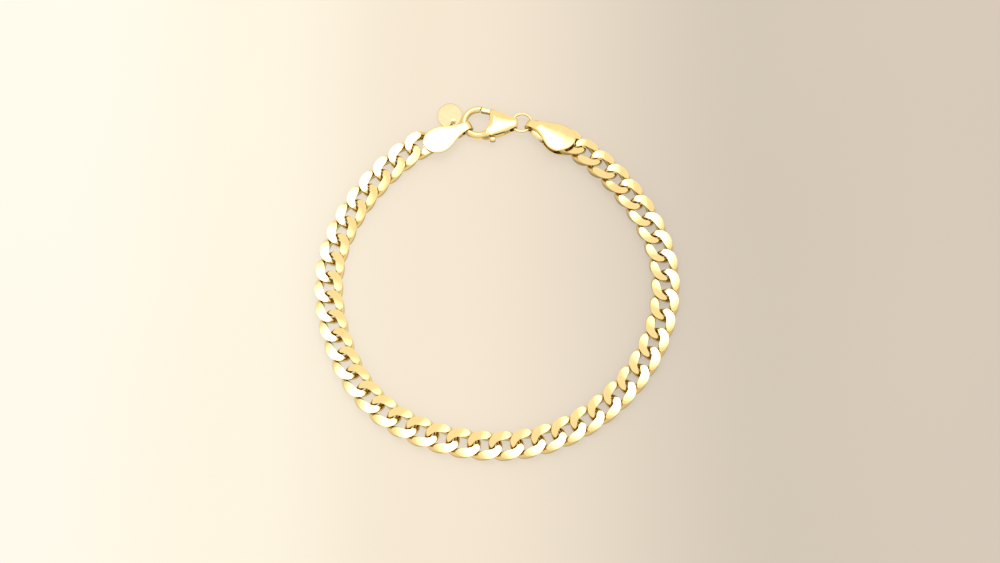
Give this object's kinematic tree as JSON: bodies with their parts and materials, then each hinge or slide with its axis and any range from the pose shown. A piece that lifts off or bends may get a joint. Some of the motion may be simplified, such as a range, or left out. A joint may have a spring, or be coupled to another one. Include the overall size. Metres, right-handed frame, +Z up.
{
  "type": "cuban link bracelet",
  "caption": "Cuban curb link bracelet, closed in a ring and lying flat, with folded end caps, a lobster clasp, a jump ring and a plain oval tag.",
  "frame": {"origin": "on the surface that the bracelet lies on, at the middle of its outline seen from above", "axes": "+Z up from that surface, +Y from the loop's middle towards the clasp, +X to the right seen from above"},
  "size_m": [0.0729, 0.0763, 0.0037],
  "materials": {
    "links": "polished",
    "end_caps": "polished",
    "clasp": "polished",
    "ring": "polished",
    "tag": "satin"
  },
  "bodies": {
    "bracelet": {"link_01": "links", "link_02": "links", "link_03": "links", "link_04": "links", "link_05": "links", "link_06": "links", "link_07": "links", "link_08": "links", "link_09": "links", "link_10": "links", "link_11": "links", "link_12": "links", "link_13": "links", "link_14": "links", "link_15": "links", "link_16": "links", "link_17": "links", "link_18": "links", "link_19": "links", "link_20": "links", "link_21": "links", "link_22": "links", "link_23": "links", "link_24": "links", "link_25": "links", "link_26": "links", "link_27": "links", "link_28": "links", "link_29": "links", "link_30": "links", "link_31": "links", "link_32": "links", "link_33": "links", "link_34": "links", "link_35": "links", "link_36": "links", "link_37": "links", "link_38": "links", "link_39": "links", "link_40": "links", "link_41": "links", "link_42": "links", "link_43": "links", "link_44": "links", "right_end_cap": "end_caps", "left_end_cap": "end_caps", "clasp_body": "clasp", "clasp_rivet": "clasp", "jump_ring": "ring", "tag": "tag"},
    "lever": {"clasp_lever": "clasp"}
  },
  "joints": [
    {"name": "clasp_lever_hinge", "type": "hinge", "parent": "bracelet", "child": "lever", "pos_m": [-0.00026, 0.03452, 0.00157], "axis": [0, 0, 1], "range_deg": [0, 25], "stiffness_Nm_per_rad": 0.002, "springref_deg": -17.19}
  ]
}
